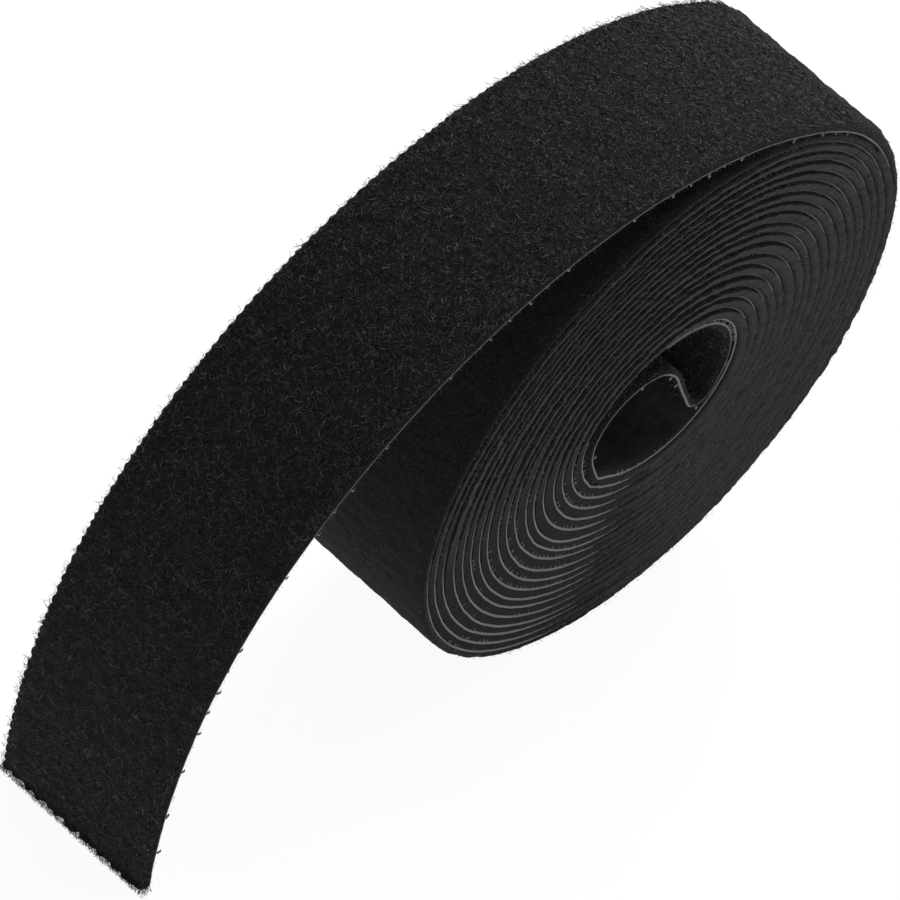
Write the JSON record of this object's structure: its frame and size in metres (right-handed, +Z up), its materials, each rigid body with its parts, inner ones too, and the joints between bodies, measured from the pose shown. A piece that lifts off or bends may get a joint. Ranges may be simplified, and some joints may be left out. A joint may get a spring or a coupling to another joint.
{
  "type": "hook and loop tape roll",
  "caption": "Coreless roll of black back-to-back hook and loop tape, loop pile outside and hook film inside, with its free end arching off the roll to the floor.",
  "frame": {"origin": "middle of the flat at the foot of the roll, half way across the tape's width, straight below the roll's axis", "axes": "+Y along the roll's axis across the tape, +Z up from the flat, -X towards the free end"},
  "size_m": [0.0974, 0.02, 0.0686],
  "materials": {
    "loop_fabric": "matte",
    "hook_film": "satin"
  },
  "bodies": {
    "roll": {"roll_loop_fabric": "loop_fabric", "roll_hook_film": "hook_film", "inner_wrap_loop_fabric": "loop_fabric", "inner_wrap_hook_film": "hook_film"},
    "tail_1": {"tail_1_loop_fabric": "loop_fabric", "tail_1_hook_film": "hook_film"},
    "tail_2": {"tail_2_loop_fabric": "loop_fabric", "tail_2_hook_film": "hook_film"},
    "tail_3": {"tail_3_loop_fabric": "loop_fabric", "tail_3_hook_film": "hook_film"},
    "tail_4": {"tail_4_loop_fabric": "loop_fabric", "tail_4_hook_film": "hook_film"},
    "tail_5": {"tail_5_loop_fabric": "loop_fabric", "tail_5_hook_film": "hook_film"},
    "inner_end": {"inner_end_loop_fabric": "loop_fabric", "inner_end_hook_film": "hook_film"}
  },
  "joints": [
    {"name": "tail_peel", "type": "hinge", "parent": "roll", "child": "tail_1", "pos_m": [0.01511, 0, 0.06198], "axis": [0, 1, 0], "range_deg": [-1.5, 32], "stiffness_Nm_per_rad": 0.02},
    {"name": "tail_bend_2", "type": "hinge", "parent": "tail_1", "child": "tail_2", "pos_m": [-0.00892, 0, 0.06813], "axis": [0, 1, 0], "range_deg": [-6, 28], "stiffness_Nm_per_rad": 0.02},
    {"name": "tail_bend_3", "type": "hinge", "parent": "tail_2", "child": "tail_3", "pos_m": [-0.03319, 0, 0.06297], "axis": [0, 1, 0], "range_deg": [-8, 28], "stiffness_Nm_per_rad": 0.02},
    {"name": "tail_bend_4", "type": "hinge", "parent": "tail_3", "child": "tail_4", "pos_m": [-0.05262, 0, 0.04754], "axis": [0, 1, 0], "range_deg": [-10, 28], "stiffness_Nm_per_rad": 0.02},
    {"name": "tail_bend_5", "type": "hinge", "parent": "tail_4", "child": "tail_5", "pos_m": [-0.06281, 0, 0.02494], "axis": [0, 1, 0], "range_deg": [-10, 28], "stiffness_Nm_per_rad": 0.02},
    {"name": "inner_end_bend", "type": "hinge", "parent": "roll", "child": "inner_end", "pos_m": [-0.00845, 0, 0.02803], "axis": [0, 1, 0], "range_deg": [-4, 2], "stiffness_Nm_per_rad": 0.02}
  ]
}
